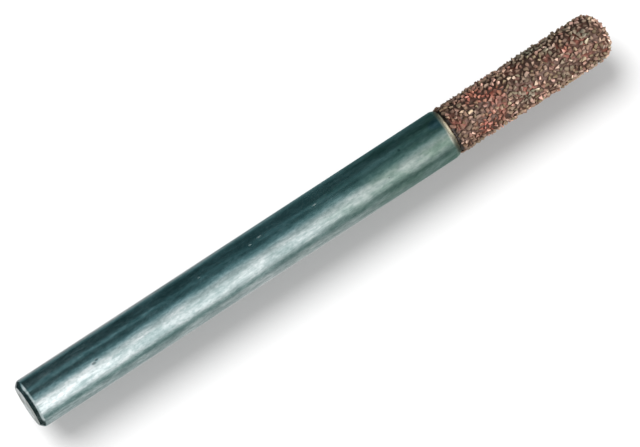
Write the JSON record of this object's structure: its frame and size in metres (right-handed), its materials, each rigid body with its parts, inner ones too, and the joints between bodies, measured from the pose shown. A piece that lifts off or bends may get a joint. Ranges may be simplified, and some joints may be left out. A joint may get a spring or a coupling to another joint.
{
  "type": "carbide grit burr",
  "caption": "Straight round-nosed rotary burr: a plain steel shank with a brazed coat of crushed carbide grit on its end.",
  "frame": {"origin": "centre of the shank's flat tail face, which the burr stands on", "axes": "+Z along the burr's axis, from the tail to the grit-coated nose; the burr is round about it"},
  "size_m": [0.0032, 0.0032, 0.0412],
  "materials": {
    "shank_steel": "satin ground, slightly tarnished",
    "copper_braze": "dull, fluxed copper braze",
    "tungsten_carbide": "crushed, sharp, partly wetted with braze"
  },
  "bodies": {
    "root": {"steel_shank": "shank_steel", "braze_coat": "copper_braze", "carbide_grit": "tungsten_carbide"}
  },
  "joints": []
}
